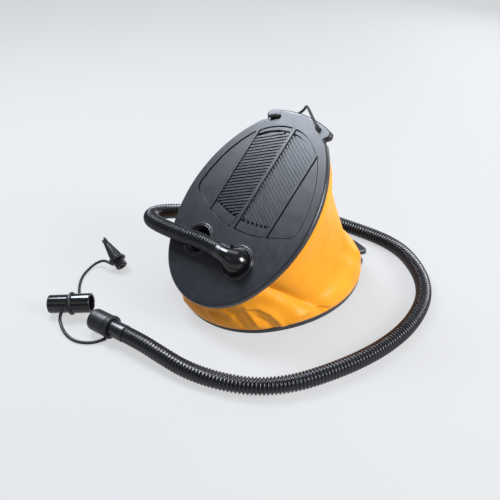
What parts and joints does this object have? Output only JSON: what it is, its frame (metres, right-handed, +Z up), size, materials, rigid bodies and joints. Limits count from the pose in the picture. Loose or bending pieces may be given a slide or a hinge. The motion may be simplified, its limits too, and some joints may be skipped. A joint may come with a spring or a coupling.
{
  "type": "foot air pump",
  "caption": "Foot-operated bellows air pump: two hinged egg-shaped plates with a fabric bellows between them, and a corrugated hose with tethered nozzles.",
  "frame": {"origin": "middle of the base plate's underside, on the surface it stands on", "axes": "+X towards the outlet side, +Y from the hinge end to the tab end, +Z up from the floor"},
  "size_m": [0.4619, 0.5209, 0.2664],
  "materials": {
    "plate": "fine moulded texture",
    "clamp": "moulded",
    "steel": "zinc plated",
    "bellows_fabric": "coated woven fabric",
    "gloss_black": "glossy",
    "valve_rubber": "soft rubber",
    "hose_plastic": "satin corrugated",
    "fitting_plastic": "satin moulded",
    "tether_plastic": "satin moulded",
    "cord_black": "braided elastic"
  },
  "bodies": {
    "base": {"base_plate": "plate", "lower_clamp_ring": "clamp", "lower_clamp_screws": "steel", "bellows": "bellows_fabric", "return_spring": "steel", "hinge_pin": "steel", "hinge_pin_clip": "steel", "hose": "hose_plastic", "hose_end_cuff": "hose_plastic", "hose_end_cup": "fitting_plastic", "strap_ring": "tether_plastic", "lower_tether": "tether_plastic", "adapter_ring": "tether_plastic", "adapter_tube": "gloss_black", "upper_tether": "tether_plastic", "nozzle_collar": "tether_plastic", "valve_nozzle": "fitting_plastic"},
    "pedal": {"pedal_plate": "plate", "upper_clamp_ring": "clamp", "upper_clamp_screws": "steel", "inlet_socket": "gloss_black", "outlet_socket": "gloss_black", "inlet_flap_strip": "clamp", "outlet_flap_strip": "clamp", "hose_elbow": "gloss_black", "hose_start_cuff": "hose_plastic", "elastic_cord": "cord_black", "left_cord_knot": "cord_black", "right_cord_knot": "cord_black"},
    "inlet_valve": {"inlet_flap": "valve_rubber"},
    "outlet_valve": {"outlet_flap": "valve_rubber"}
  },
  "joints": [
    {"name": "pedal_hinge", "type": "hinge", "parent": "base", "child": "pedal", "pos_m": [0, -0.144, 0.03], "axis": [1, 0, 0], "range_deg": [-44.2, 0], "stiffness_Nm_per_rad": 4, "springref_deg": 34.38, "deforming": ["bellows", "return_spring", "hose"]},
    {"name": "inlet_valve_hinge", "type": "hinge", "parent": "pedal", "child": "inlet_valve", "pos_m": [-0.0415, -0.11624, 0.06815], "axis": [-1, 0, 0], "range_deg": [0, 35], "stiffness_Nm_per_rad": 0.004, "springref_deg": -11.46},
    {"name": "outlet_valve_hinge", "type": "hinge", "parent": "pedal", "child": "outlet_valve", "pos_m": [0.0415, -0.11764, 0.06959], "axis": [1, 0, 0], "range_deg": [0, 35], "stiffness_Nm_per_rad": 0.004, "springref_deg": -11.46}
  ]
}
